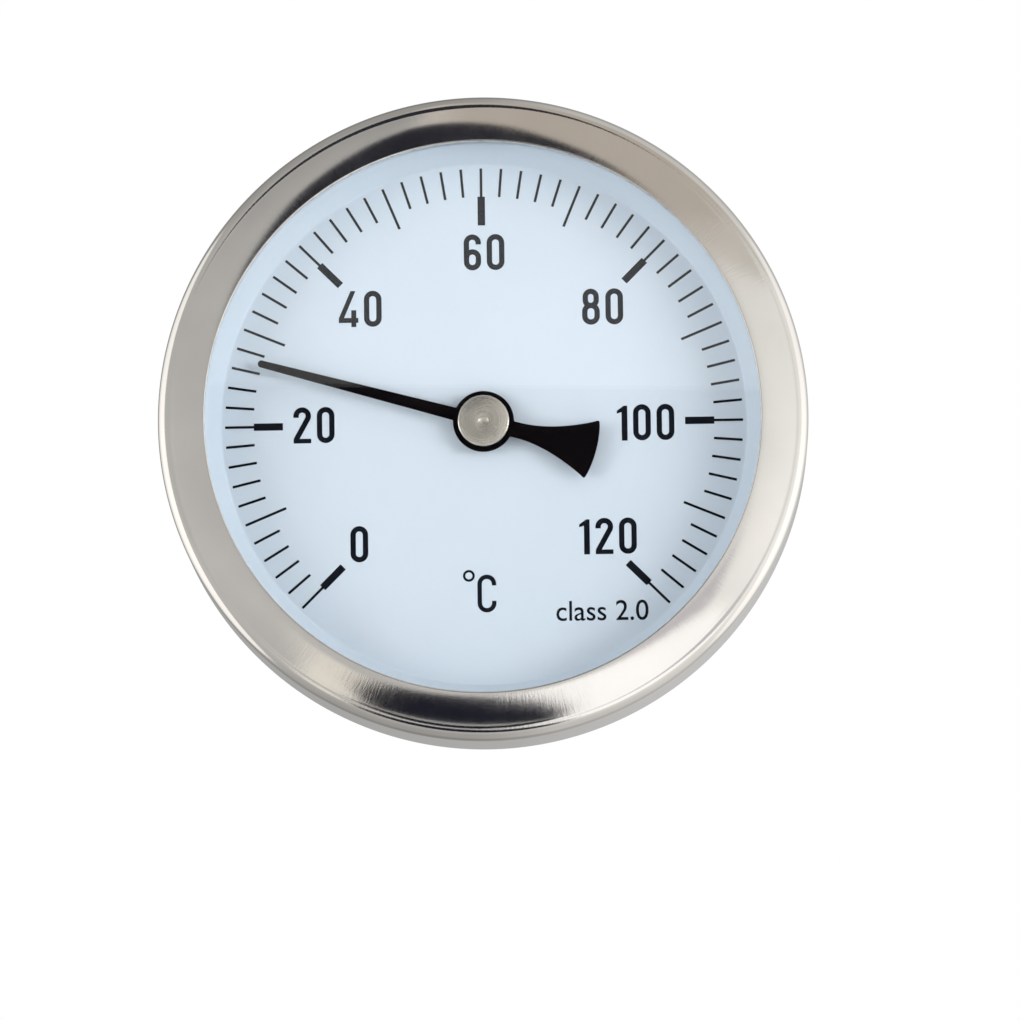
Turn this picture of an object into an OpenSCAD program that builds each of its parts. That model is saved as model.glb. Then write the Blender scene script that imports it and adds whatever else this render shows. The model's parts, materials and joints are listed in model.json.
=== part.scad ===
// Dial thermometer: a 63 mm dial on a rear bimetal stem, in a screw-in brass pocket.
// The axis runs along Y, the dial faces -Y and twelve o'clock is +Z. The origin is the
// middle of the collar's sealing face, where the pocket's thread begins.
// Each sub-part is drawn with the dial facing +Z and twelve o'clock at +Y, and stand()
// turns it into place. Heights are local Z, and radii are from the axis.

/* [Pocket] */
// Length of the pocket beyond the sealing face
insertion_len = 45; // [40:1:100]
// Outside diameter of the pocket's tube
pocket_d = 11; // [10.6:0.1:12]
// Thickness of the metal at the pocket's tip
tip_wall = 2; // [1:0.25:3]
// Outside diameter of the pipe thread, G 1/2
thread_d = 20.955; // [20.955]
// Pitch of the pipe thread
thread_pitch = 1.814; // [1.814]
// Number of thread crests
thread_crests = 4; // [3:1:6]
// Length of the plain groove between the thread and the collar
undercut_len = 2.1; // [2.1:0.1:3.5]
// Width of the collar's hexagon across its flats
collar_af = 22; // [22:0.5:30]
// Height of the collar
collar_h = 5; // [5:0.5:8]

/* [Case] */
// Outside diameter of the case
case_d = 63; // [62.5:0.25:64]
// Distance from the collar to the case back
neck_gap = 4; // [3:0.5:8]
// Depth of the case, from its flat back to the crest of the bezel
case_depth = 9.6; // [9:0.1:12]
// Thickness of the bezel's and the case back's sheet
sheet_t = 0.5; // [0.4:0.05:0.55]
// Diameter of the window in the bezel
window_d = 53.8; // [53:0.2:54.6]
// Height of the two ribs pressed into the case back
rib_h = 0.8; // [0.5:0.1:1.2]
// Thickness of the window glass
glass_t = 2.4; // [2:0.1:2.6]

/* [Dial and pointer] */
// Distance from the crest of the bezel down to the dial
dial_drop = 6.6; // [6.4:0.1:6.7]
// Radius of the dial's flat face
dial_face_r = 25.6; // [25:0.1:26]
// Temperature that the pointer shows, in degrees Celsius, at 2.25 degrees of arc each
reading = 26.9; // [0:0.1:120]
// Distance from the axis to the pointer's tip
pointer_len = 22.7; // [18:0.1:24.5]
// Distance from the axis to the end of the pointer's tail
tail_len = 11.3; // [9:0.1:14]

/* [Stem and bimetal] */
// Outside diameter of the stem tube
stem_d = 9; // [8.8:0.1:9]
// Wall of the stem tube
stem_wall = 0.5; // [0.4:0.05:0.6]
// Diameter of the pointer shaft
shaft_d = 1.2; // [1:0.1:1.4]
// Number of turns in the bimetal coil
coil_turns = 11; // [8:1:12]
// Width of the bimetal strip, along the axis
strip_w = 1.6; // [1:0.1:1.8]
// Thickness of the bimetal strip
strip_t = 0.3; // [0.2:0.05:0.4]

/* [Hidden] */
$fn = 96;
eps = 0.01;
run_gap = 0.04;     // radial clearance of the shaft in its bearings
slip_gap = 0.08;    // radial clearance of the stem and the snap ring in the pocket
free_gap = 0.3;     // clearance between faces that only pass each other

// Pocket
thread_r = thread_d / 2;
thread_depth = 0.6403 * thread_pitch;
root_r = thread_r - thread_depth;
crest_w = thread_pitch / 6;
flank_w = thread_pitch / 3;
undercut_r = root_r - 0.4;
thread_end = -undercut_len - thread_crests * thread_pitch - 0.25;
pocket_r = pocket_d / 2;
pocket_tip = -insertion_len;
bore_floor = pocket_tip + tip_wall;
base_r = pocket_r + 0.5;
base_h = 1;
tip_chamfer = 0.4;
socket_r = 6.4;
socket_floor = 1.5;

// Case
case_r = case_d / 2;
back_z = collar_h + neck_gap;
crest_z = back_z + case_depth;
window_r = window_d / 2;
skirt_end = back_z + 0.25;
bead_r = 1;
crease_r = case_r - 1.2;
lip_tilt = 3;       // slope of the bezel's face at the window
crease_tilt = 22;   // slope of the bezel's face at the crease beside the bead
dome_r = (crease_r - window_r) / (sin(crease_tilt) - sin(lip_tilt));
dome_c = window_r - dome_r * sin(lip_tilt);
dome_z = crest_z - dome_r * cos(lip_tilt);
dome_step = 2;      // the crease is the bead's last point, and the dome goes on from there
bead_turn = acos((crease_r - case_r + bead_r) / bead_r);
bead_z = dome_z + dome_r * cos(crease_tilt) - bead_r * sin(bead_turn);
glass_top = crest_z - 1.3;
glass_z = glass_top - glass_t;
glass_r = case_r - 1.1;
wall_r = case_r - sheet_t - 0.25;
corner_r = 1;
recess_z = back_z + 1;
recess_r = 8.6;
inner_rib = [9.9, 14];
outer_rib = [20.3, 24.7];

// Dial and pointer
dial_z = crest_z - dial_drop;
dial_t = 0.4;
dial_rim_r = 27.2;
dial_hole_r = 1.9;
arc_per_degree = 2.25;
zero_angle = 225;
pointer_t = 0.3;
pointer_z = dial_z + 1.35;
boss_r = 2.97;
hub_r = 2.5;
hub_h = 0.6;
hub_neck_r = 1.1;
tip_half_w = 0.34;
root_half_w = 0.66;
tail_half_w = 0.76;
tail_flare = 2;
flare_start = 3.6;
flare_power = 1.7;

// Stem and bimetal
stem_r = stem_d / 2;
stem_in_r = stem_r - stem_wall;
stem_tip = bore_floor + free_gap;
stem_top = recess_z + sheet_t + 0.7;
tip_round = 1;
shaft_r = shaft_d / 2;
anchor_z = stem_tip + stem_wall + 0.1;
anchor_t = 0.6;
anchor_len = 4.5;
hub_len = 3;
coil_in_r = 2.75;
weld_gap = 0.05;
coil_low = anchor_z + anchor_t + strip_w / 2 + 0.6;
coil_high = -9;
coil_steps = 16;    // flats in each turn of the coil
spigot_r = socket_r - free_gap;
groove_r = 5.2;
groove_z = 3;
groove_w = 0.9;
ring_play = 0.08;
ring_slit = 2.4;

// Outlines

function unit(v) = v / norm(v);
function left_of(v) = [-v[1], v[0]];
function flipped(list) = [for (i = [len(list) - 1:-1:0]) list[i]];

// Points of an arc about centre c, from angle a to angle b
function arc(c, r, a, b, steps = 10) = [
    for (i = [0:steps])
        let (turn = a + (b - a) * i / steps)
        c + r * [cos(turn), sin(turn)]
];

// Point i of a path, moved by t to the path's left, with mitred corners
function beside(path, i, t) =
    let (
        last = len(path) - 1,
        before = unit(path[max(i, 1)] - path[max(i, 1) - 1]),
        after = unit(path[min(i, last - 1) + 1] - path[min(i, last - 1)]),
        out = unit(left_of(before) + left_of(after))
    )
    path[i] + out * t / (out * left_of(before));

// Points of a pressed rib that bulges towards -Z between radii span[0] and span[1]
function rib(span, z, h) =
    let (
        half = (span[1] - span[0]) / 2,
        r = (half * half + h * h) / (2 * h),
        turn = asin(half / r)
    )
    arc([span[0] + half, z + r - h], r, -90 - turn, -90 + turn);

// Shared shapes

module stand() {
    rotate([90, 0, 0]) children();
}

module rise(z) {
    translate([0, 0, z]) children();
}

// Ring between two radii, from height low to height high
module ring(r_in, r_out, low, high) {
    rotate_extrude()
        translate([r_in, low])
            square([r_out - r_in, high - low]);
}

// Sheet of thickness t on the left of a path, turned about the axis
module turned_sheet(path, t) {
    other = [for (i = [0:len(path) - 1]) beside(path, i, t)];
    rotate_extrude($fn = 180)
        polygon(concat(path, flipped(other)));
}

// Pocket and what holds the stem in it

function thread_points() = [
    for (i = [thread_crests - 1:-1:0])
        let (z = -undercut_len - i * thread_pitch)
        each [
            [root_r, z - crest_w - 2 * flank_w],
            [thread_r, z - crest_w - flank_w],
            [thread_r, z - flank_w],
            [root_r, z]
        ]
];

module collar() {
    chamfer_r = collar_af / 2;
    reach = collar_af / sqrt(3) - chamfer_r;
    drop = reach * tan(30);
    intersection() {
        cylinder(h = collar_h, d = collar_af / cos(30), $fn = 6);
        rotate_extrude()
            polygon([
                [0, 0], [chamfer_r, 0],
                [chamfer_r + reach, drop], [chamfer_r + reach, collar_h - drop],
                [chamfer_r, collar_h], [0, collar_h]
            ]);
    }
}

module thermowell() {
    outline = concat(
        [
            [0, pocket_tip],
            [pocket_r - tip_chamfer, pocket_tip],
            [pocket_r, pocket_tip + tip_chamfer],
            [pocket_r, thread_end - base_h],
            [base_r, thread_end - base_h + (base_r - pocket_r)],
            [base_r, thread_end],
            [root_r - 0.3, thread_end],
            [root_r, thread_end + 0.3]
        ],
        thread_points(),
        [[undercut_r, -undercut_len], [undercut_r, 0.5], [0, 0.5]]
    );
    color("goldenrod")
    stand()
    difference() {
        union() {
            collar();
            rotate_extrude() polygon(outline);
        }
        rise(bore_floor) cylinder(h = collar_h - bore_floor + 1, r = stem_r + slip_gap);
        rise(socket_floor) cylinder(h = collar_h, r = socket_r);
    }
}

module snap_ring() {
    color("silver")
    stand()
    difference() {
        ring(groove_r + slip_gap, socket_r - slip_gap,
             groove_z + ring_play, groove_z + groove_w - ring_play);
        translate([0, -ring_slit / 2, groove_z])
            cube([socket_r + 1, ring_slit, groove_w]);
    }
}

module neck_bush() {
    bush_r = 8;
    color("black")
    stand()
    difference() {
        union() {
            ring(stem_r, bush_r, collar_h + free_gap, recess_z);
            ring(stem_r, spigot_r, socket_floor + 0.4, collar_h + free_gap + eps);
        }
        ring(groove_r, spigot_r + 1, groove_z, groove_z + groove_w);
    }
}

// Stem and movement

module stem_tube() {
    outline = concat(
        [[0, stem_tip]],
        arc([stem_r - tip_round, stem_tip + tip_round], tip_round, -90, 0, 6),
        [
            [stem_r, stem_top], [stem_in_r, stem_top],
            [stem_in_r, stem_tip + stem_wall], [0, stem_tip + stem_wall]
        ]
    );
    color("silver")
    stand()
    rotate_extrude() polygon(outline);
}

module stem_flange() {
    flange_r = 7.5;
    color("silver")
    stand()
    ring(stem_r, flange_r, recess_z + sheet_t, stem_top);
}

module coil_anchor() {
    color("tan")
    stand() {
        rise(anchor_z) cylinder(h = anchor_t, r = stem_in_r - 0.02);
        ring(1.6, coil_in_r - weld_gap, anchor_z + anchor_t - eps, anchor_z + anchor_len);
    }
}

module tip_bearing() {
    color("ivory")
    stand()
    ring(shaft_r + run_gap, 1.6, anchor_z + anchor_t, anchor_z + 2.6);
}

// One corner ring of the strip: angle, height and the four corners at that angle
function strip_corners(i) =
    let (
        turn = 360 * i / coil_steps,
        z = coil_low + (coil_high - coil_low) * i / (coil_turns * coil_steps),
        way = [cos(turn), sin(turn)]
    )
    [
        for (corner = [[0, -1], [1, -1], [1, 1], [0, 1]])
            let (r = coil_in_r + corner[0] * strip_t)
            [way[0] * r, way[1] * r, z + corner[1] * strip_w / 2]
    ];

module bimetal_coil() {
    count = coil_turns * coil_steps;
    points = [for (i = [0:count]) each strip_corners(i)];
    sides = [
        for (i = [0:count - 1], j = [0:3])
            let (a = 4 * i + j, b = 4 * i + (j + 1) % 4)
            each [[a, a + 4, b + 4], [a, b + 4, b]]
    ];
    ends = [[0, 1, 2], [0, 2, 3], [4 * count, 4 * count + 2, 4 * count + 1],
            [4 * count, 4 * count + 3, 4 * count + 2]];
    color("peru")
    stand()
    polyhedron(points = points, faces = concat(sides, ends));
}

module coil_collar() {
    color("goldenrod")
    stand()
    ring(shaft_r, coil_in_r - weld_gap, coil_high - hub_len / 2, coil_high + hub_len / 2);
}

module pointer_shaft() {
    low = anchor_z + anchor_t + 0.3;
    color("lightgray")
    stand()
    rise(low) cylinder(h = pointer_z + pointer_t + 0.2 - low, r = shaft_r);
}

module thrust_collar() {
    top = recess_z - 0.9;
    color("goldenrod")
    stand()
    ring(shaft_r, 1.5, top - 0.6, top);
}

module front_bearing() {
    color("goldenrod")
    stand() {
        ring(shaft_r + run_gap, stem_in_r - 0.02, recess_z - 0.6, stem_top);
        ring(shaft_r + run_gap, dial_hole_r - free_gap, stem_top - eps, dial_z + 0.1);
    }
}

// Case

module case_back() {
    path = concat(
        [[stem_r + 0.05, recess_z], [recess_r, recess_z]],
        rib(inner_rib, back_z, rib_h),
        rib(outer_rib, back_z, rib_h),
        arc([wall_r - corner_r, back_z + corner_r], corner_r, -90, 0),
        [[wall_r, glass_z - dial_t]]
    );
    color("lightsteelblue")
    stand()
    turned_sheet(path, sheet_t);
}

module case_seal() {
    color("black")
    stand()
    ring(wall_r + 0.02, case_r - sheet_t - 0.02, back_z + corner_r, back_z + corner_r + 2.5);
}

module dial_plate() {
    path = [
        [dial_hole_r, dial_z], [dial_face_r, dial_z],
        [dial_rim_r, glass_z], [wall_r - 0.1, glass_z]
    ];
    color("aliceblue")
    stand()
    turned_sheet(path, -dial_t);
}

module glass() {
    bevel = 0.2;
    color([0.8, 0.9, 0.95, 0.3])
    stand()
    rotate_extrude()
        polygon([
            [0, glass_z], [glass_r, glass_z], [glass_r, glass_top - bevel],
            [glass_r - bevel, glass_top], [0, glass_top]
        ]);
}

module glass_gasket() {
    color("dimgray")
    stand()
    ring(window_r + 0.7, window_r + 2.6, glass_top, glass_top + 0.28);
}

module bezel() {
    path = concat(
        [[case_r, skirt_end]],
        arc([case_r - bead_r, bead_z], bead_r, 0, bead_turn),
        arc([dome_c, dome_z], dome_r, 90 - crease_tilt + dome_step, 90 - lip_tilt)
    );
    color("lightgray")
    stand()
    turned_sheet(path, sheet_t);
}

// Pointer, drawn along +X and turned to its reading

function flare(x) = tail_half_w + tail_flare
    * pow(max(x - flare_start, 0) / (tail_len - flare_start), flare_power);

module needle_outline() {
    tip_x = pointer_len - tip_half_w;
    polygon(concat(
        [[0, -root_half_w]],
        arc([tip_x, 0], tip_half_w, -90, 90, 8),
        [[0, root_half_w]]
    ));
}

module tail_outline() {
    steps = 10;
    side = [for (i = [0:steps]) let (x = (tail_len - 0.35) * i / steps) [-x, flare(x)]];
    end_turn = asin(flare(tail_len - 0.35) / tail_len) - 2;
    polygon(concat(
        side,
        arc([0, 0], tail_len, 180 - end_turn, 180 + end_turn, 8),
        [for (p = flipped(side)) [p[0], -p[1]]]
    ));
}

module pointer() {
    color("black")
    stand()
    rotate([0, 0, zero_angle - reading * arc_per_degree])
    rise(pointer_z)
    difference() {
        linear_extrude(pointer_t) {
            circle(r = boss_r);
            needle_outline();
            tail_outline();
        }
        rise(-1) cylinder(h = 3, r = hub_neck_r);
    }
}

module pointer_hub() {
    top = pointer_z + pointer_t + hub_h;
    edge = 0.12;
    dimple_r = 0.45;
    dimple_h = 0.28;
    foot = dial_z + 0.5;
    color("gainsboro")
    stand()
    rotate_extrude()
        polygon([
            [shaft_r, foot], [hub_neck_r, foot],
            [hub_neck_r, pointer_z + pointer_t], [hub_r, pointer_z + pointer_t],
            [hub_r, top - edge], [hub_r - edge, top],
            [dimple_r, top], [0, top - dimple_h],
            [0, pointer_z + pointer_t + 0.2], [shaft_r, pointer_z + pointer_t + 0.2]
        ]);
}

thermowell();
snap_ring();
neck_bush();
stem_tube();
stem_flange();
coil_anchor();
tip_bearing();
bimetal_coil();
coil_collar();
pointer_shaft();
thrust_collar();
front_bearing();
case_back();
case_seal();
dial_plate();
pointer();
pointer_hub();
glass();
glass_gasket();
bezel();
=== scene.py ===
"""Looks of the dial thermometer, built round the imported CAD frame.

Profiles are (radius, height) pairs in millimetres. Height runs along the axis from the
sealing face towards the dial, which is -Y in the frame. Flat shapes on the dial are
(x, y) pairs in millimetres, with y towards twelve o'clock, which is +Z in the frame.
"""

import json
import math

import bmesh
import bpy
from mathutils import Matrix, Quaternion, Vector, geometry


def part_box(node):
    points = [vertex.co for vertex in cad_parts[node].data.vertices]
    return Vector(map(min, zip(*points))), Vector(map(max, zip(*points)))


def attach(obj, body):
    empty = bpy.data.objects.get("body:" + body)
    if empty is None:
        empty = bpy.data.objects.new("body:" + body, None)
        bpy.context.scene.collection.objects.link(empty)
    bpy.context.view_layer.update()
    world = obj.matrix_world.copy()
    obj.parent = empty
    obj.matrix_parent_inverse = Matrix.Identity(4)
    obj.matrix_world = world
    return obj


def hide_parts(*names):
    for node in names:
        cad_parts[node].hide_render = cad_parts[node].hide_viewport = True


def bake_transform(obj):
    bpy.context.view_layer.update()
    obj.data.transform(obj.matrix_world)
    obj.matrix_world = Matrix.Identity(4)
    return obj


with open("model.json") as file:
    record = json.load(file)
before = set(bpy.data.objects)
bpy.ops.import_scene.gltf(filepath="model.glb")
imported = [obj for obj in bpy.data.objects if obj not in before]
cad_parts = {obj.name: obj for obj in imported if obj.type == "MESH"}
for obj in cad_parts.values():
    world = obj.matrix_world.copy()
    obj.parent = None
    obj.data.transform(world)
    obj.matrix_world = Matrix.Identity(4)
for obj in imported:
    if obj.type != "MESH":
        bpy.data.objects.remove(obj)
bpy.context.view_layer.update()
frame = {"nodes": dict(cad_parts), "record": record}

MM = 0.001
SEGMENTS = 288
SHARP = math.radians(28)
TAU = 2 * math.pi


# Places that the CAD gives

def front(node):
    """Height of a node's face nearest the dial, in millimetres."""
    return -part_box(node)[0].y / MM


def back(node):
    """Height of a node's face nearest the pocket's tip, in millimetres."""
    return -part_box(node)[1].y / MM


def reach(node):
    """Greatest radius of a round node, in millimetres."""
    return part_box(node)[1].z / MM


# Plane outlines

def arc(centre, radius, start, end, steps):
    """Points of an arc, with its angles in degrees."""
    turns = [math.radians(start + (end - start) * i / steps) for i in range(steps + 1)]
    return [(centre[0] + radius * math.cos(t), centre[1] + radius * math.sin(t))
            for t in turns]


def beside(path, distance):
    """The path moved to its left, with mitred corners."""
    moved = []
    for i, here in enumerate(path):
        here = Vector(here)
        before = (here - Vector(path[i - 1])).normalized() if i else None
        after = (Vector(path[i + 1]) - here).normalized() if i + 1 < len(path) else before
        before = before or after
        left = Vector((-before.y, before.x))
        out = (left + Vector((-after.y, after.x))).normalized()
        moved.append(tuple(here + out * distance / out.dot(left)))
    return moved


def rounded(corners, steps=4):
    """An open path whose corners (x, y, radius) are rounded."""
    path = []
    for i, (x, y, radius) in enumerate(corners):
        here = Vector((x, y))
        if not radius or i in (0, len(corners) - 1):
            path.append((x, y))
            continue
        before = (Vector(corners[i - 1][:2]) - here).normalized()
        after = (Vector(corners[i + 1][:2]) - here).normalized()
        half = before.angle(after) / 2
        centre = here + (before + after).normalized() * radius / math.sin(half)
        first = here + before * radius / math.tan(half) - centre
        last = here + after * radius / math.tan(half) - centre
        sweep = first.angle_signed(last)
        for step in range(steps + 1):
            turn = -sweep * step / steps
            cos, sin = math.cos(turn), math.sin(turn)
            path.append((centre.x + first.x * cos - first.y * sin,
                         centre.y + first.x * sin + first.y * cos))
    return path


def bent(start, leave, arrive, end, count):
    """So many points of a smooth bend that leaves start towards one corner and reaches end
    from another."""
    return [tuple(point) for point in geometry.interpolate_bezier(
        Vector(start), Vector(leave), Vector(arrive), Vector(end), count)]


# Meshes

def at(turn, radius, height):
    """Frame point of an angle seen from the front, a radius and a height."""
    return Vector((radius * math.cos(turn), -height, radius * math.sin(turn))) * MM


def bridged(bm, rings):
    """Faces between neighbouring rings of vertices. A ring of one vertex is a pole."""
    for low, high in zip(rings, rings[1:]):
        count = max(len(low), len(high))
        if count == 1:
            continue
        for i in range(count):
            j = (i + 1) % count
            corners = [low[i % len(low)], low[j % len(low)],
                       high[j % len(high)], high[i % len(high)]]
            bm.faces.new(list(dict.fromkeys(corners)))


def lathe(profile, segments=SEGMENTS):
    """Mesh of a profile turned about the axis. A profile that doesn't start on the axis is
    closed on itself."""
    bm = bmesh.new()
    rings = []
    for radius, height in profile:
        if radius < 1e-6:
            rings.append([bm.verts.new(at(0, 0, height))])
        else:
            rings.append([bm.verts.new(at(TAU * i / segments, radius, height))
                          for i in range(segments)])
    if profile[0][0] > 1e-6:
        rings.append(rings[0])
    bridged(bm, rings)
    return bm


def flat_solid(outlines, low, high, holes=()):
    """Mesh of the union of outlines on the dial less the holes, between two heights."""
    points, loops = [], []
    for outline in [*outlines, *holes]:
        area = sum(a[0] * b[1] - b[0] * a[1]
                   for a, b in zip(outline, [*outline[1:], outline[0]]))
        loops.append(list(range(len(points), len(points) + len(outline))))
        points += [Vector(p) for p in (outline if area > 0 else outline[::-1])]
    made = geometry.delaunay_2d_cdt(points, [], loops, 1, 1e-5)
    spots, triangles, origins = made[0], made[2], made[5]
    bm = bmesh.new()
    ends = {height: [bm.verts.new(Vector((p.x, -height, p.y)) * MM) for p in spots]
            for height in (low, high)}
    open_edges = set()
    for triangle, origin in zip(triangles, origins):
        if not origin or max(origin) >= len(outlines):
            continue
        bm.faces.new([ends[high][i] for i in triangle])
        bm.faces.new([ends[low][i] for i in triangle[::-1]])
        for a, b in zip(triangle, [*triangle[1:], triangle[0]]):
            if (b, a) in open_edges:
                open_edges.remove((b, a))
            else:
                open_edges.add((a, b))
    for a, b in sorted(open_edges):
        bm.faces.new([ends[low][a], ends[low][b], ends[high][b], ends[high][a]])
    bmesh.ops.delete(bm, geom=[v for v in bm.verts if not v.link_faces], context="VERTS")
    return bm


def piece(name, bm, finish, body=None, replaces=()):
    """Object of a mesh, with its finish, its body and the CAD nodes that it stands for."""
    bmesh.ops.recalc_face_normals(bm, faces=bm.faces)
    mesh = bpy.data.meshes.new(name)
    bm.to_mesh(mesh)
    bm.free()
    mesh.shade_smooth()
    mesh.set_sharp_from_angle(angle=SHARP)
    mesh.materials.append(finish)
    made = bpy.data.objects.new(name, mesh)
    bpy.context.scene.collection.objects.link(made)
    flat = made.modifiers.new("flat_faces", "WEIGHTED_NORMAL")
    flat.keep_sharp = True
    if body:
        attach(made, body)
    if replaces:
        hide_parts(*replaces)
    return made


# Materials

class Finish:
    """A Principled material with procedural colour, roughness and relief."""

    def __init__(self, name, **sockets):
        self.material = bpy.data.materials.new(name)
        self.material.use_nodes = True
        self.tree = self.material.node_tree
        self.shader = self.tree.nodes["Principled BSDF"]
        for socket, value in sockets.items():
            self.shader.inputs[socket.replace("_", " ")].default_value = value

    def node(self, kind, settings=(), inputs=()):
        """A new node with its settings, and its inputs as values or sockets."""
        made = self.tree.nodes.new(kind)
        for name, value in dict(settings).items():
            setattr(made, name, value)
        for name, value in dict(inputs).items():
            if isinstance(value, bpy.types.NodeSocket):
                self.tree.links.new(value, made.inputs[name])
            else:
                made.inputs[name].default_value = value
        return made

    def place(self):
        return self.node("ShaderNodeTexCoord").outputs["Object"]

    def noise(self, per_mm, detail=3):
        """Noise with so many grains to a millimetre."""
        return self.node(
            "ShaderNodeTexNoise",
            inputs={"Vector": self.place(), "Scale": per_mm / MM, "Detail": detail,
                    "Roughness": 0.55},
        ).outputs["Fac"]

    def turned(self, per_mm, around, detail=3):
        """Noise in rings about the axis, as a lathe or a spinning brush leaves them. The more
        it changes around, the shorter are the marks, until they run across the rings."""
        parts = self.node("ShaderNodeSeparateXYZ", inputs={0: self.place()}).outputs
        flat = self.node("ShaderNodeCombineXYZ", inputs={0: parts[0], 1: parts[2]})
        radius = self.node("ShaderNodeVectorMath", {"operation": "LENGTH"},
                           {0: flat.outputs[0]}).outputs["Value"]
        way = self.node("ShaderNodeVectorMath", {"operation": "NORMALIZE"},
                        {0: flat.outputs[0]}).outputs["Vector"]
        way = self.node("ShaderNodeVectorMath", {"operation": "SCALE"},
                        {0: way, "Scale": around}).outputs["Vector"]
        lift = self.node("ShaderNodeCombineXYZ",
                         inputs={2: self.times(radius, per_mm / MM)}).outputs[0]
        along = self.times(parts[1], per_mm / MM)
        spot = self.node("ShaderNodeVectorMath", {"operation": "ADD"}, {0: way, 1: lift})
        return self.node("ShaderNodeTexNoise", {"noise_dimensions": "4D"},
                         {"Vector": spot.outputs[0], "W": along, "Scale": 1,
                          "Detail": detail}).outputs["Fac"]

    def times(self, value, factor):
        return self.node("ShaderNodeMath", {"operation": "MULTIPLY"},
                         {0: value, 1: factor}).outputs[0]

    def plus(self, first, second):
        return self.node("ShaderNodeMath", {"operation": "ADD"},
                         {0: first, 1: second}).outputs[0]

    def colours(self, value, *stops):
        """Base colour from a ramp of (position, colour) stops."""
        ramp = self.node("ShaderNodeValToRGB", inputs={0: value})
        elements = ramp.color_ramp.elements
        while len(elements) < len(stops):
            elements.new(0.5)
        for element, (position, colour) in zip(elements, stops):
            element.position = position
            element.color = (*colour, 1)
        self.tree.links.new(ramp.outputs[0], self.shader.inputs["Base Color"])
        return self

    def gloss(self, value, low, high):
        """Roughness between two values."""
        spread = self.node("ShaderNodeMapRange",
                           inputs={"Value": value, "From Min": 0.25, "From Max": 0.75,
                                   "To Min": low, "To Max": high})
        self.tree.links.new(spread.outputs[0], self.shader.inputs["Roughness"])
        return self

    def relief(self, value, depth):
        """Bump of a depth in millimetres."""
        bump = self.node("ShaderNodeBump", inputs={"Height": value, "Distance": depth * MM,
                                                   "Strength": 1})
        self.tree.links.new(bump.outputs[0], self.shader.inputs["Normal"])
        return self


def shade(colour, factor):
    return tuple(min(1, c * factor) for c in colour)


def metal(name, colour, per_mm, rough, depth, around=1.5, spread=0.05):
    """Metal with fine turned or spun rings."""
    made = Finish(name, Metallic=1.0)
    rings = made.turned(per_mm, around)
    patches = made.noise(0.15, 4)
    made.colours(patches, (0.3, shade(colour, 1 - spread)), (0.7, shade(colour, 1 + spread)))
    made.gloss(made.times(made.plus(rings, patches), 0.5), *rough)
    made.relief(rings, depth)
    return made.material


def moulded(name, colour, rough, per_mm=4, depth=0.01, specular=0.5):
    """Moulded plastic, rubber or paint with a fine grain."""
    made = Finish(name, Specular_IOR_Level=specular)
    grain = made.noise(per_mm, 4)
    patches = made.noise(0.3, 3)
    made.colours(patches, (0.3, shade(colour, 0.85)), (0.7, shade(colour, 1.15)))
    made.gloss(grain, *rough)
    made.relief(grain, depth)
    return made.material


def stainless():
    """Spun stainless steel, with a fine brushing across the ring, faint rings and a grain."""
    colour = (0.67, 0.645, 0.605)
    made = Finish("stainless_spun", Metallic=1.0)
    across = made.turned(0.6, 150, 2)
    grain = made.noise(9, 2)
    rings = made.turned(9, 3, 2)
    patches = made.noise(0.12, 4)
    made.colours(patches, (0.3, shade(colour, 0.96)), (0.7, shade(colour, 1.04)))
    made.gloss(made.times(made.plus(across, patches), 0.5), 0.08, 0.14)
    made.relief(made.plus(made.plus(across, grain), made.times(rings, 0.2)), 0.0022)
    return made.material


def zinc():
    """Zinc-plated sheet, bluish with a faint straw tint in patches."""
    made = Finish("zinc_sheet", Metallic=1.0)
    patches = made.noise(0.045, 5)
    grain = made.noise(5, 3)
    made.colours(patches, (0.35, (0.44, 0.49, 0.52)), (0.55, (0.50, 0.55, 0.58)),
                 (0.72, (0.56, 0.52, 0.41)))
    made.gloss(grain, 0.24, 0.36)
    made.relief(grain, 0.003)
    return made.material


def enamel():
    """Pale blue lacquered dial."""
    made = Finish("dial_lacquer", IOR=1.45)
    grain = made.noise(2.5, 3)
    patches = made.noise(0.05, 3)
    made.colours(patches, (0.3, (0.68, 0.775, 0.875)), (0.7, (0.705, 0.795, 0.89)))
    made.gloss(grain, 0.45, 0.6)
    made.relief(grain, 0.002)
    return made.material


def clear_glass():
    """Clear window glass with the faint waviness of float glass."""
    made = Finish("window_clear", Transmission_Weight=1.0, IOR=1.45, Roughness=0.0)
    tint = made.noise(0.02, 2)
    made.colours(tint, (0.3, (0.985, 0.995, 0.99)), (0.7, (0.995, 1.0, 1.0)))
    made.relief(made.noise(0.03, 1), 0.002)
    return made.material


def bimetal_strip():
    """Rolled bimetal: a coppery face with streaks along the strip."""
    made = Finish("bimetal_rolled", Metallic=1.0)
    streaks = made.turned(4, 0.5, 4)
    made.colours(streaks, (0.35, (0.52, 0.36, 0.26)), (0.65, (0.62, 0.50, 0.42)))
    made.gloss(streaks, 0.25, 0.42)
    made.relief(streaks, 0.004)
    return made.material


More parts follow.
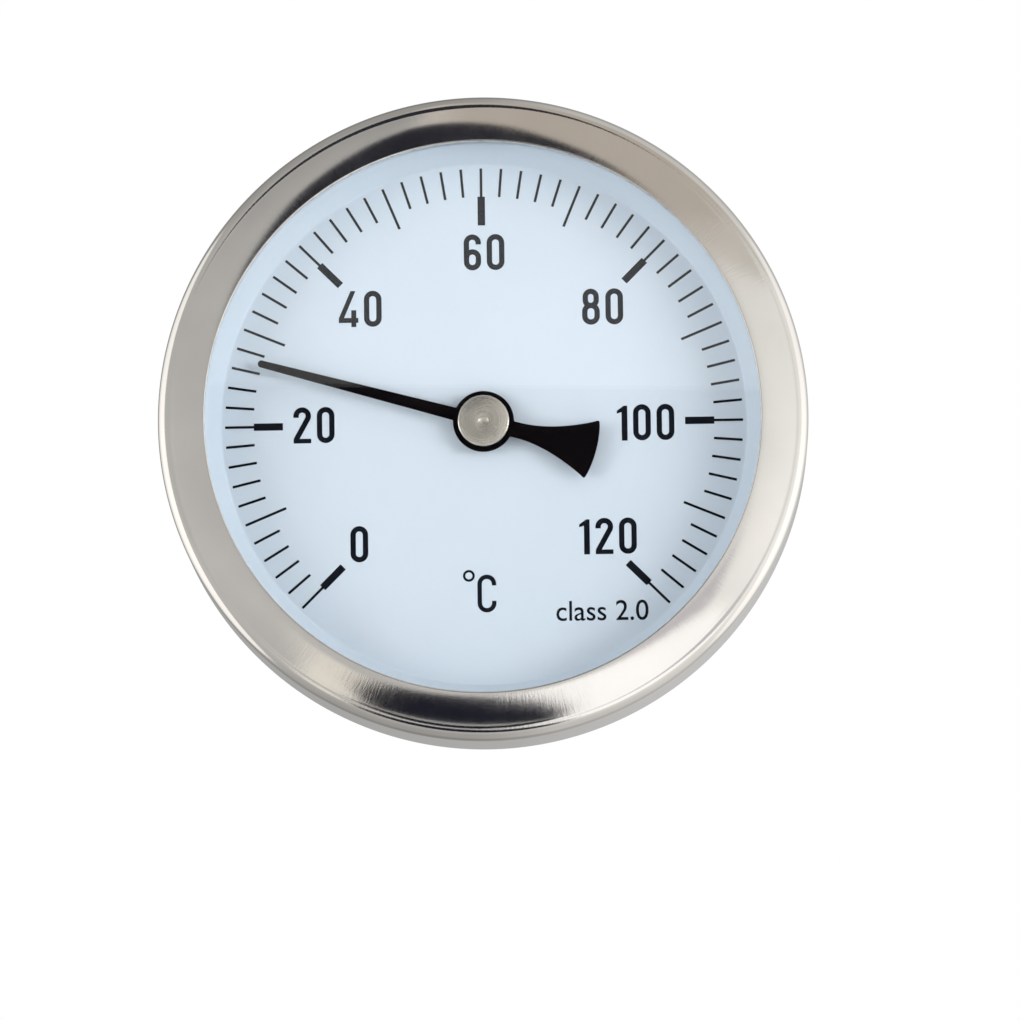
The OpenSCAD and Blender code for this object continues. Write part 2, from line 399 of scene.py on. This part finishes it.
FINISHES = {
    "brass_pocket": metal("brass_turned", (0.83, 0.57, 0.25), 7, (0.1, 0.24), 0.006),
    "spring_steel": metal("steel_spring", (0.45, 0.45, 0.46), 9, (0.22, 0.35), 0.003),
    # Near-black bush: painted shade for the dark gap between the pocket's collar and the case
    # back.
    "black_bush": moulded("bush_painted_shade", (0.018, 0.018, 0.019), (0.35, 0.5)),
    "stem_steel": metal("steel_drawn", (0.62, 0.61, 0.59), 9, (0.14, 0.26), 0.002),
    "turned_brass": metal("brass_small", (0.83, 0.62, 0.30), 9, (0.18, 0.32), 0.003),
    "bearing_plastic": moulded("bearing_ivory", (0.78, 0.76, 0.70), (0.4, 0.55)),
    "bimetal": bimetal_strip(),
    "zinc_plate": zinc(),
    "black_rubber": moulded("rubber_black", (0.02, 0.02, 0.021), (0.55, 0.75), 8, 0.015),
    "dial_enamel": enamel(),
    "pointer_black": moulded("paint_black", (0.003, 0.002, 0.0025), (0.5, 0.65), 9, 0.004,
                             0.02),
    "nickel_plate": metal("nickel_turned", (0.62, 0.585, 0.52), 8, (0.2, 0.34), 0.01, 0.3,
                          0.06),
    "window_glass": clear_glass(),
    "stainless": stainless(),
}
INK = moulded("ink_black", (0.006, 0.008, 0.013), (0.5, 0.65), 8, 0.002, 0.05)


# Bezel, window and dial

SHEET = 0.5
WINDOW_R = 26.9
CASE_R = reach("bezel")
CREST = front("bezel")
CREASE_R = CASE_R - 1.2
BEAD_R = 1.15
LIP_TILT = 3
LIP_EDGE = 0.1
CREASE_TILT = 22
DIAL_HEIGHT = front("front_bearing") - 0.1
DIAL_FACE_R = 25.6


def bezel_shell():
    """Spun ring: a skirt, a rolled bead, a soft crease and a convex face that rises to the
    lip at the window."""
    dome_r = (CREASE_R - WINDOW_R) / (
        math.sin(math.radians(CREASE_TILT)) - math.sin(math.radians(LIP_TILT)))
    dome = (WINDOW_R - dome_r * math.sin(math.radians(LIP_TILT)),
            CREST - dome_r * math.cos(math.radians(LIP_TILT)))
    bead_turn = math.degrees(math.acos((CREASE_R - CASE_R + BEAD_R) / BEAD_R))
    bead = (CASE_R - BEAD_R, dome[1] + dome_r * math.cos(math.radians(CREASE_TILT))
            - BEAD_R * math.sin(math.radians(bead_turn)))
    roll_steps, slope_steps, crease_steps = 22, 26, 9
    roll_end, slope_start = 4, 2    # points that the soft crease takes from each side
    roll = arc(bead, BEAD_R, 0, bead_turn, roll_steps)
    slope = arc(dome, dome_r, 90 - CREASE_TILT, 90 - LIP_TILT, slope_steps)
    crease = bent(roll[-roll_end], roll[-1], slope[0], slope[slope_start], crease_steps)
    face = [*roll[:-roll_end], *crease, *slope[slope_start + 1:]]
    outer = [(CASE_R, back("bezel")), *face]
    inner = beside(outer, SHEET)
    lip = rounded([(*outer[-2], 0), (*outer[-1], LIP_EDGE), (*inner[-1], LIP_EDGE),
                   (*inner[-2], 0)])
    edge = arc((CASE_R - SHEET / 2, back("bezel") + SHEET / 2), SHEET / 2, 180, 360, 8)
    profile = [*outer[1:-2], *lip, *inner[-3:0:-1], *edge]
    return lathe(profile)


def window_pane():
    """Ground disc with a small bevel at its edge."""
    low, high, edge, bevel = back("glass"), front("glass"), reach("glass"), 0.2
    return lathe([(0, low), *rounded([(0, low, 0), (edge, low, bevel), (edge, high, bevel),
                                      (0, high, 0)])[1:-1], (0, high)])


def scale_plate():
    """Dial: a flat face, a short cone up to the glass, and a flange under its edge."""
    thickness, soft, hole_r, cone_r = 0.4, 0.25, 1.9, 27.2
    top, rim, flange = DIAL_HEIGHT, front("dial_plate"), reach("dial_plate")
    path = rounded([(hole_r, top, 0), (DIAL_FACE_R, top, soft), (cone_r, rim, soft),
                    (flange, rim, 0)], 6)
    return lathe([*path, *beside(path, -thickness)[::-1]])


# Print on the dial

INK_HEIGHT = 0.015
SCALE_TURN = 2.25
SCALE_START = 225
TICK_END_R = 25.2
STROKE = 0.52
NUMBER_H = 3.55


def tick(degree):
    """Outlines of a scale line: short each 2 degrees, longer each 20 from 10 on, and short
    with a bold bar behind it each 20 from 0 on."""
    turn = math.radians(SCALE_START - SCALE_TURN * degree)
    way = Vector((math.cos(turn), math.sin(turn)))
    side = Vector((-way.y, way.x))
    short, long, bar = 2.8, 4.3, 2.84
    thin, bold = 0.25, 0.72
    bars = [(TICK_END_R, TICK_END_R - (long if degree % 20 == 10 else short), thin)]
    if degree % 20 == 0:
        bars.append((TICK_END_R - short, TICK_END_R - short - bar, bold))
    return [[tuple(way * r + side * s * width / 2)
             for r, s in ((near, 1), (far, 1), (far, -1), (near, -1))]
            for near, far, width in bars]


def stroke(path, width=STROKE):
    """Outlines of a line drawn along a path."""
    left, right = beside(path, width / 2), beside(path, -width / 2)
    return [[left[i], left[i + 1], right[i + 1], right[i]] for i in range(len(path) - 1)]


def loop(middle, half_w, low, high, width=STROKE):
    """Outlines of a closed upright loop with round ends."""
    top, bottom = high - half_w, low + half_w
    path = [*arc((middle, top), half_w, 0, 180, 16),
            *arc((middle, bottom), half_w, 180, 360, 16)[bottom == top:]]
    if bottom != top:
        path.append(path[0])
    left, right = beside(path, width / 2), beside(path, -width / 2)
    left[0] = left[-1] = (middle + half_w - width / 2, path[0][1])
    right[0] = right[-1] = (middle + half_w + width / 2, path[0][1])
    return [[left[i], left[i + 1], right[i + 1], right[i]] for i in range(len(path) - 1)]


def numeral(character):
    """Width and outlines of a condensed numeral, drawn from x = 0 and centred on y = 0."""
    end = NUMBER_H / 2
    line = end - STROKE / 2
    half = 0.6
    middle = half + STROKE / 2
    if character == "0":
        return 2 * middle, loop(middle, half, -line, line)
    if character == "1":
        stem = [(0.46, -end), (1.02, -end), (1.02, end - 0.12), (0.68, end - 0.12),
                (0.46, end - 0.28)]
        flag = [(0, 0.88), (0.5, 1.05), (0.5, end - 0.25), (0, 1.17)]
        return 1.02, [stem, flag]
    if character == "2":
        hook = [(0.26, 0.75), *arc((middle, line - half), half, 180, -28, 18),
                (0.25, 0.1 - line)]
        return 2 * middle, [*stroke(hook), [(0, -end), (1.72, -end), (1.72, 0.45 - end),
                                            (0, 0.45 - end)]]
    if character == "4":
        return 1.9, [[(1.16, end), (1.64, end), (0.50, -0.9), (0, -0.9)],
                     [(0, -1.36), (1.9, -1.36), (1.9, -0.88), (0, -0.88)],
                     [(1.22, -end), (1.70, -end), (1.70, -0.12), (1.22, -0.12)]]
    if character == "6":
        half = 0.58
        hook = [(2 * half + STROKE / 2, 0.78),
                *arc((half + STROKE / 2, line - half), half, 0, 180, 16),
                (STROKE / 2, half - line)]
        return 2 * half + STROKE, [*stroke(hook), *loop(half + STROKE / 2, half, -line, 0.05)]
    return 2 * middle, [*loop(middle, 0.53, 0.12, line), *loop(middle, half, -line, 0.12)]


def moved(outlines, x, y):
    return [[(px + x, py + y) for px, py in outline] for outline in outlines]


def number(text, x, y):
    """Outlines of a number centred on (x, y)."""
    gap = 0.56
    shapes, cursor = [], 0
    for character in text:
        width, outlines = numeral(character)
        shapes += moved(outlines, cursor, 0)
        cursor += width + gap
    return moved(shapes, x - (cursor - gap) / 2, y)


def unit_mark():
    """Outlines of the degree ring and the C."""
    thin, half, end, ring_r = 0.43, 0.70, 1.85, 0.46
    line = end - thin / 2
    middle_x, middle_y = 0.09, -16.65
    letter = [(half, 0.78), *arc((0, line - half), half, 0, 180, 16),
              *arc((0, half - line), half, 180, 360, 16), (half, -0.72)]
    ring = loop(0, ring_r, -ring_r, ring_r, 0.235)
    return [*moved(stroke(letter, thin), middle_x, middle_y), *moved(ring, -1.64, -14.9)]


def lettering(text, size, squeeze, x, y):
    """Mesh of small plain lettering centred on (x, y) of the dial."""
    curve = bpy.data.curves.new("lettering", "FONT")
    curve.body = text
    curve.size = size * MM
    curve.align_x = "CENTER"
    curve.extrude = INK_HEIGHT / 2 * MM
    curve.offset = 0.012 * MM
    holder = bpy.data.objects.new("lettering", curve)
    bpy.context.scene.collection.objects.link(holder)
    bpy.context.view_layer.update()
    mesh = bpy.data.meshes.new_from_object(
        holder.evaluated_get(bpy.context.evaluated_depsgraph_get()))
    bpy.data.objects.remove(holder)
    bm = bmesh.new()
    bm.from_mesh(mesh)
    bpy.data.meshes.remove(mesh)
    for vert in bm.verts:
        px, py, pz = vert.co
        vert.co = Vector((px * squeeze + x * MM, -DIAL_HEIGHT * MM - pz, py + y * MM))
    bmesh.ops.remove_doubles(bm, verts=bm.verts, dist=1e-7)
    return bm


def printed(outlines):
    return flat_solid(outlines, DIAL_HEIGHT - 0.005, DIAL_HEIGHT + INK_HEIGHT)


# Pointer and hub

POINTER_R = 22.7
TAIL_R = 11.3
READING = 26.9


def pointer_blade():
    """Straight needle, round boss and a tail that flares to an arc with rounded corners,
    turned to the reading."""
    boss_r, hole_r, tip_half, root_half = 2.97, 1.1, 0.34, 0.66
    tail_half, tail_flare, flare_from, flare_power = 0.76, 2.4, 3.6, 1.8

    def flare(x):
        grown = max(x - flare_from, 0) / (TAIL_R - flare_from)
        return tail_half + tail_flare * grown ** flare_power

    needle = [(0, -root_half), *arc((POINTER_R - tip_half, 0), tip_half, -90, 90, 12),
              (0, root_half)]
    shoulder, steps, inset = TAIL_R - 0.9, 20, 4
    side = [(-shoulder * i / steps, flare(shoulder * i / steps)) for i in range(steps + 1)]
    end = math.degrees(math.asin(flare(TAIL_R - 0.3) / TAIL_R))
    corner, turned_in = arc((0, 0), TAIL_R, 180 - end, 180 - end + inset, 1)
    side += bent(side[-1], corner, corner, turned_in, 7)[1:-1]
    tail = [*side, *arc((0, 0), TAIL_R, 180 - end + inset, 180 + end - inset, 12),
            *[(x, -y) for x, y in side[::-1]]]
    boss = arc((0, 0), boss_r, 0, 360, 72)[:-1]
    hole = arc((0, 0), hole_r, 0, 360, 48)[:-1]
    turn = math.radians(SCALE_START - SCALE_TURN * READING)
    cos, sin = math.cos(turn), math.sin(turn)
    outlines = [[(x * cos - y * sin, x * sin + y * cos) for x, y in outline]
                for outline in (needle, tail, boss, hole)]
    bm = flat_solid(outlines[:3], back("pointer"), front("pointer"), outlines[3:])
    bmesh.ops.recalc_face_normals(bm, faces=bm.faces)
    bmesh.ops.remove_doubles(bm, verts=bm.verts, dist=0.03 * MM)
    bmesh.ops.dissolve_limit(bm, angle_limit=0.002, verts=bm.verts, edges=bm.edges)
    return bm


def hub_cap():
    """Turned cap with a rounded edge and a drilled centre."""
    top, foot, seat = front("pointer_hub"), back("pointer_hub"), front("pointer")
    edge_r, neck_r, shaft_r, hole_r = 2.5, 1.1, 0.6, 0.46
    face = rounded([(neck_r, seat, 0), (edge_r, seat, 0.05), (edge_r, top - 0.03, 0.12),
                    (hole_r, top, 0.03), (hole_r - 0.04, top - 0.22, 0.02),
                    (0, top - 0.32, 0)])
    inside = [(0, seat + 0.2), (shaft_r, seat + 0.2), (shaft_r, foot), (neck_r, foot)]
    return lathe([*inside, *face][::-1], 144)


# Case back, seal and neck

def rib(low_r, high_r, level, height, steps=14):
    """Arc of a pressed rib that stands out to the rear, with a fine crease at each foot."""
    half = (high_r - low_r) / 2
    radius = (half * half + height * height) / (2 * height)
    turn = math.degrees(math.asin(half / radius))
    crease, dip = 0.15, 0.1
    return [(low_r - crease, level), (low_r, level + dip),
            *arc((low_r + half, level + radius - height), radius, -90 - turn, -90 + turn,
                 steps)[1:-1], (high_r, level + dip), (high_r + crease, level)]


def rear_plate():
    """Pressed sheet with a recess for the neck, two ribs and a turned-up wall."""
    rib_h = 0.8
    level = back("case_back") + rib_h
    wall_r = reach("case_back")
    path = [*rounded([(4.55, level + 1, 0), (8.6, level + 1, 0.3), (9.75, level, 0)], 4)[:-1],
            *rib(9.9, 14, level, rib_h), *rib(20.3, 24.7, level, rib_h),
            *arc((wall_r - 1, level + 1), 1, -90, 0, 10), (wall_r, front("case_back"))]
    return lathe([*path, *beside(path, SHEET)[::-1]])


def rim_seal():
    """Soft ring that fills the gap between the plate's wall and the bezel's skirt."""
    low, high, edge = back("case_seal"), front("case_seal"), reach("case_seal")
    inside = reach("case_back") + 0.02
    return lathe([(inside, high), (inside, low), *arc(((inside + edge) / 2, low),
                 (edge - inside) / 2, 180, 360, 6)[1:-1], (edge, low), (edge, high)])


def neck_sleeve():
    """Bush between the pocket's collar and the case, near-black as painted shade for the dark
    gap there.
    """
    low, high, edge = back("neck_bush"), front("neck_bush"), 8
    spigot_r, bore_r, shoulder = 6.1, 4.5, 5.3
    groove_r, groove_low, groove_high = 5.2, 3, 3.9
    return lathe(rounded([
        (bore_r, high, 0), (edge, high, 0.3), (edge, shoulder, 0.4), (spigot_r, shoulder, 0),
        (spigot_r, groove_high, 0.06), (groove_r, groove_high, 0), (groove_r, groove_low, 0),
        (spigot_r, groove_low, 0.06), (spigot_r, low, 0.15), (bore_r, low, 0)]), 144)


def stem_sheath():
    """Closed drawn tube round the bimetal."""
    tip, top = back("stem_tube"), front("stem_tube")
    outer, wall = reach("stem_tube"), 0.5
    return lathe(rounded([(0, tip, 0), (outer, tip, 1), (outer, top, 0.1),
                          (outer - wall, top, 0.1), (outer - wall, tip + wall, 0.5),
                          (0, tip + wall, 0)], 8), 144)


# Pocket

THREAD_R = 10.4775
THREAD_PITCH = 1.814
THREAD_ROOT_R = THREAD_R - 0.6403 * THREAD_PITCH
UNDERCUT_R = THREAD_ROOT_R - 0.4
UNDERCUT_LOW = -2.1
THREAD_END = UNDERCUT_LOW - 4 * THREAD_PITCH - 0.25
COLLAR_H = 5
COLLAR_R = 11


def thread_radius(height, share):
    """Radius of the pipe thread where share of a pitch has passed since a root's middle. The
    crest and the root are each a sixth of the pitch, and a cone runs in at both ends."""
    depth = THREAD_R - THREAD_ROOT_R
    slope = min(max((abs(share % 1 - 0.5) - 0.5 / 6) * 3, 0), 1)
    full = THREAD_R - depth * slope * slope * (3 - 2 * slope)
    return min(full, THREAD_ROOT_R - 0.3 + 1.2 * (height - THREAD_END),
               UNDERCUT_R + 1.6 * (UNDERCUT_LOW - height))


def pocket_column(turn):
    """Profile of the pocket at one angle, from the tip's middle round to the bore's middle."""
    tip, tube_r, base_r = back("thermowell"), 5.5, 6.0
    start = rounded([(0, tip, 0), (tube_r, tip, 0.35), (tube_r, THREAD_END - 1, 0.2),
                     (base_r, THREAD_END - 0.5, 0.12), (base_r, THREAD_END, 0.1),
                     (THREAD_ROOT_R - 0.3, THREAD_END, 0)])
    per_pitch = 14
    rows = []
    for row in range(-per_pitch, 5 * per_pitch + 1):
        share = row / per_pitch
        height = THREAD_END + THREAD_PITCH * (share + turn / TAU)
        height = min(max(height, THREAD_END), UNDERCUT_LOW)
        share = (height - THREAD_END) / THREAD_PITCH - turn / TAU
        rows.append((thread_radius(height, share), height))
    half_flat = TAU / 12
    hex_r = COLLAR_R / math.cos((turn % (2 * half_flat)) - half_flat)
    hex_r = min(hex_r, COLLAR_R / math.cos(half_flat) - 0.06)
    drop = (hex_r - COLLAR_R) * math.tan(math.radians(30))
    collar = [(UNDERCUT_R, 0), (COLLAR_R, 0), (hex_r, drop), (hex_r, COLLAR_H - drop),
              (COLLAR_R, COLLAR_H)]
    inside = rounded([(COLLAR_R, COLLAR_H, 0), (6.4, COLLAR_H, 0.2), (6.4, 1.5, 0.1),
                      (4.58, 1.5, 0.15), (4.58, tip + 2, 0.5), (0, tip + 2, 0)])
    return [*start[:-1], *rows, (UNDERCUT_R, UNDERCUT_LOW + 0.3), *collar, *inside[1:]]


def pocket_body():
    """Brass pocket: plain tube, stepped base, helical pipe thread, undercut and hex collar."""
    segments = 240
    bm = bmesh.new()
    columns = []
    for i in range(segments + 1):
        turn = TAU * i / segments
        columns.append([bm.verts.new(at(turn, r, h)) for r, h in pocket_column(turn)])
    for left, right in zip(columns, columns[1:]):
        for k in range(len(left) - 1):
            bm.faces.new([left[k], right[k], right[k + 1], left[k + 1]])
    bmesh.ops.remove_doubles(bm, verts=bm.verts, dist=2e-7)
    bmesh.ops.dissolve_degenerate(bm, edges=bm.edges, dist=1e-7)
    return bm


# Bimetal coil

def coil_strip():
    """Strip wound on edge into a long coil, with rounded edges."""
    turns, per_turn, inner_r, thickness, width, soft = 11, 72, 2.75, 0.3, 1.6, 0.08
    half_w = width / 2
    low, high = back("bimetal_coil") + half_w, front("bimetal_coil") - half_w
    section = [(0, -half_w, 0), (thickness, -half_w, soft), (thickness, half_w, soft),
               (0, half_w, soft), (0, -half_w, soft), (thickness, -half_w, 0)]
    section = rounded(section, 2)[1:-1]
    bm = bmesh.new()
    rings = []
    for i in range(turns * per_turn + 1):
        height = low + (high - low) * i / (turns * per_turn)
        turn = TAU * i / per_turn
        rings.append([bm.verts.new(at(turn, inner_r + r, height + h)) for r, h in section])
    bridged(bm, rings)
    bm.faces.new(rings[0])
    bm.faces.new(rings[-1][::-1])
    return bm


# The object

def build():
    for made in frame["nodes"].values():
        made.data.shade_smooth()
        made.data.set_sharp_from_angle(angle=SHARP)
    for part in frame["record"]["subparts"]:
        mesh = frame["nodes"][part["node"]].data
        mesh.materials.clear()
        mesh.materials.append(FINISHES[part["material_slot"]])

    turned = [
        ("bezel_shell", bezel_shell, "instrument", "stainless", "bezel"),
        ("window_pane", window_pane, "instrument", "window_glass", "glass"),
        ("scale_plate", scale_plate, "instrument", "dial_enamel", "dial_plate"),
        ("pointer_blade", pointer_blade, "movement", "pointer_black", "pointer"),
        ("hub_cap", hub_cap, "movement", "nickel_plate", "pointer_hub"),
        ("rear_plate", rear_plate, "instrument", "zinc_plate", "case_back"),
        ("rim_seal", rim_seal, "instrument", "black_rubber", "case_seal"),
        ("neck_sleeve", neck_sleeve, "instrument", "black_bush", "neck_bush"),
        ("stem_sheath", stem_sheath, "instrument", "stem_steel", "stem_tube"),
        ("pocket_body", pocket_body, "pocket", "brass_pocket", "thermowell"),
    ]
    made = {name: piece(name, shape(), FINISHES[slot], body, [node])
            for name, shape, body, slot, node in turned}
    made["window_pane"].visible_shadow = False
    bevel = made["pointer_blade"].modifiers.new("edge", "BEVEL")
    bevel.width = 0.05 * MM
    bevel.segments = 2
    bevel.limit_method = "ANGLE"
    bevel.angle_limit = math.radians(50)

    coil = piece("coil_strip", coil_strip(), FINISHES["bimetal"], None,
                 ["bimetal_coil"])
    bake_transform(coil)

    numbers = [("0", -12.24, -11.64), ("20", -16.54, 0.11), ("40", -11.93, 11.49),
               ("60", 0.22, 16.9), ("80", 11.70, 11.35), ("100", 15.72, -0.11),
               ("120", 11.91, -11.20)]
    prints = {
        "scale_ticks": [o for degree in range(0, 121, 2) for o in tick(degree)],
        "scale_numbers": [o for entry in numbers for o in number(*entry)],
        "unit_mark": unit_mark(),
    }
    for name, outlines in prints.items():
        piece(name, printed(outlines), INK, "instrument")
    piece("accuracy_mark", lettering("class 2.0", 2.8, 0.97, 11.25, -19.42), INK,
          "instrument")


# Stage, lights and camera

VIEW = (1.38, -8.46)    # azimuth and elevation of the camera, in degrees
CARD_DISTANCE = 4.0
DAYLIGHT = 0.38         # light on matt surfaces from all round

# Brightness of the room in reflections, by how far a direction points right, up, and behind
ROOM_ACROSS = [(-0.77, 1.5), (-0.73, 0.68), (-0.4, 0.66), (-0.12, 0.66), (0.0, 0.74),
               (0.22, 1.1), (0.72, 1.22), (0.77, 1.55)]
ROOM_UPWARD = [(-0.9, 0.7), (-0.5, 0.95), (-0.1, 1.08), (0.1, 1.0), (0.45, 0.88), (0.8, 0.66)]
ROOM_AWAY = [(0.1, 1), (0.6, 0.62)]


def emission(name, colour):
    made = bpy.data.materials.new(name)
    made.use_nodes = True
    tree = made.node_tree
    tree.nodes.clear()
    glow = tree.nodes.new("ShaderNodeEmission")
    glow.inputs["Color"].default_value = (*colour, 1)
    glow.inputs["Strength"].default_value = 1
    out = tree.nodes.new("ShaderNodeOutputMaterial")
    tree.links.new(glow.outputs[0], out.inputs["Surface"])
    return made


def card(name, corners, colour, behind=0.0, spread=2.5):
    """Card that only shows in reflections. Its corners are (right, up) angles in degrees from
    the lens as a flat face turned to the front mirrors it. Spread widens them for a face near
    the rim, and behind sets the card back behind another that covers it in part."""
    distance = CARD_DISTANCE + behind
    points = []
    for x, y in corners:
        wide = 1 + spread / math.hypot(x, y)
        points.append((math.tan(math.radians(x * wide - VIEW[0])) * distance, -distance,
                       math.tan(math.radians(y * wide - VIEW[1])) * distance))
    mesh = bpy.data.meshes.new(name)
    mesh.from_pydata(points, [], [list(range(len(points)))])
    mesh.materials.append(emission(name, colour))
    made = bpy.data.objects.new(name, mesh)
    bpy.context.scene.collection.objects.link(made)
    made.visible_camera = False
    made.visible_diffuse = False
    made.visible_shadow = False


def floor():
    """Pale floor below the camera. It neither lights the object nor shows in it."""
    level, reach_out = -0.2, 3.0
    mesh = bpy.data.meshes.new("floor")
    mesh.from_pydata([(x * reach_out, y * reach_out, level) for x, y in
                      ((-1, -1), (1, -1), (1, 1), (-1, 1))], [], [(0, 1, 2, 3)])
    made = bpy.data.objects.new("floor", mesh)
    bpy.context.scene.collection.objects.link(made)
    pale = Finish("floor_pale", Emission_Color=(1, 1, 1, 1), Emission_Strength=0.3)
    cloud = pale.noise(0.01, 2)
    pale.colours(cloud, (0.3, (0.90, 0.90, 0.90)), (0.7, (0.92, 0.92, 0.92)))
    pale.gloss(cloud, 0.7, 0.8)
    mesh.materials.append(pale.material)
    made.visible_glossy = False
    made.visible_diffuse = False


def lamp(name, place, size, power):
    """Soft square lamp aimed at the dial."""
    light = bpy.data.lights.new(name, "AREA")
    light.shape = "SQUARE"
    light.size = size
    light.energy = power
    made = bpy.data.objects.new(name, light)
    made.location = place
    made.rotation_euler = (-Vector(place)).to_track_quat("-Z", "Y").to_euler()
    made.visible_glossy = False
    bpy.context.scene.collection.objects.link(made)


def surroundings():
    """White for the camera, an even light for matt surfaces, and in reflections a room that
    is brighter on the right and brightest far out at both sides."""
    world = bpy.data.worlds.new("studio")
    bpy.context.scene.world = world
    world.use_nodes = True
    tree = world.node_tree
    tree.nodes.clear()

    def mixed(kind, factor, first, second):
        made = tree.nodes.new("ShaderNodeMix")
        made.data_type = "RGBA"
        made.blend_type = kind
        made.clamp_factor = False
        for socket, value in (("Factor", factor), ("A", first), ("B", second)):
            index = {"Factor": 0, "A": 6, "B": 7}[socket]
            if isinstance(value, bpy.types.NodeSocket):
                tree.links.new(value, made.inputs[index])
            else:
                made.inputs[index].default_value = value
        return made.outputs[2]

    def ramp(value, stops):
        spread = tree.nodes.new("ShaderNodeMapRange")
        spread.inputs["From Min"].default_value = -1
        tree.links.new(value, spread.inputs["Value"])
        made = tree.nodes.new("ShaderNodeValToRGB")
        tree.links.new(spread.outputs[0], made.inputs[0])
        elements = made.color_ramp.elements
        while len(elements) < len(stops):
            elements.new(0.5)
        for element, (position, level) in zip(elements, stops):
            element.position = (position + 1) / 2
            element.color = (level, level, level, 1)
        return made.outputs[0]

    path = tree.nodes.new("ShaderNodeLightPath")
    way = tree.nodes.new("ShaderNodeTexCoord")
    split = tree.nodes.new("ShaderNodeSeparateXYZ")
    tree.links.new(way.outputs["Generated"], split.inputs[0])
    across = ramp(split.outputs[0], ROOM_ACROSS)
    upward = ramp(split.outputs[2], ROOM_UPWARD)
    away = ramp(split.outputs[1], ROOM_AWAY)
    room = mixed("MULTIPLY", 1.0, mixed("MULTIPLY", 1.0, across, upward), away)
    lit = mixed("MIX", path.outputs["Is Glossy Ray"], (*[DAYLIGHT] * 3, 1), room)
    seen = mixed("MIX", path.outputs["Is Camera Ray"], lit, (1, 1, 1, 1))
    light = tree.nodes.new("ShaderNodeBackground")
    tree.links.new(seen, light.inputs["Color"])
    out = tree.nodes.new("ShaderNodeOutputWorld")
    tree.links.new(light.outputs[0], out.inputs["Surface"])


def camera():
    """Long lens a little below and to the right of the dial's axis, rolled by a hair."""
    azimuth, elevation = VIEW
    distance, roll = 0.8, -0.7
    aim = Vector((0, -CREST * MM, 0))
    data = bpy.data.cameras.new("camera")
    data.lens = 292.4
    data.shift_x = 0.0271
    data.shift_y = -0.0933
    data.clip_start = 0.01
    made = bpy.data.objects.new("camera", data)
    bpy.context.scene.collection.objects.link(made)
    a, e = math.radians(azimuth), math.radians(elevation)
    away = Vector((math.sin(a) * math.cos(e), -math.cos(a) * math.cos(e), math.sin(e)))
    made.location = aim + away * distance
    made.rotation_mode = "QUATERNION"
    made.rotation_quaternion = (-away).to_track_quat("-Z", "Y") @ Quaternion(
        (0, 0, 1), math.radians(roll))
    bpy.context.scene.camera = made


def studio():
    floor()
    surroundings()
    lamp("key_right", (1.0, -0.9, -0.15), 0.7, 10.4)
    lamp("fill_left", (-1.0, -0.9, -0.15), 0.7, 7.4)
    lamp("rear_soft", (-0.6, 1.0, 0.7), 0.8, 6)
    dark, black = (0.016, 0.018, 0.03), (0.01, 0.01, 0.012)
    grey, tan, pale = (0.74, 0.72, 0.78), (0.61, 0.56, 0.51), (0.74, 0.71, 0.67)
    warm, white = (1.1, 1.06, 1.0), (1.5, 1.5, 1.53)
    card("flag_above", [(-6, 3), (3, 5), (4.8, 7.1), (5.7, 10.9), (4.4, 15.5), (2, 22.8),
                        (-2.4, 27.3), (-7.9, 29.5), (-11.3, 24.2), (-12.8, 15.2), (-10, 8.4),
                        (-7.6, 4)], dark)
    card("flag_below", [(0, -9.4), (0.5, -11.4), (4.6, -23.2), (10.5, -36), (12, -42),
                        (-19, -39.5), (-15.1, -30.7), (-10.7, -22.8), (-5.7, -14.7)], dark)
    card("ceiling_edge", [(-2, 6), (6, 5), (34, 28), (36, 50), (-9, 50), (-4, 28)], tan, 0.1)
    card("ceiling_soft", [(4, 2), (8, 5), (46, 27), (48, 50), (-14, 50), (-8, 30)], pale, 0.2)
    card("screen_below", [(1, -9), (6, -10), (31, -26), (34, -34), (13, -43), (11, -36.2),
                          (5.1, -23.3), (1, -11.5)], white)
    card("screen_side", [(11, -5.5), (21, -18), (6, -10), (3.5, -7)], grey)
    card("screen_left", [(-6, -14), (-11, -22.4), (-15.5, -30.5), (-19.5, -39.5), (-29, -38),
                         (-22, -29), (-15.5, -20.5), (-8.5, -11.5)], warm, 0.1)
    card("camera_front", [(-6, -6.5), (6, -6.5), (6, 0.05), (-6, 0.35)], black, spread=0)
    scene = bpy.context.scene
    scene.view_settings.view_transform = "Standard"
    scene.cycles.use_denoising = True


build()
studio()
camera()
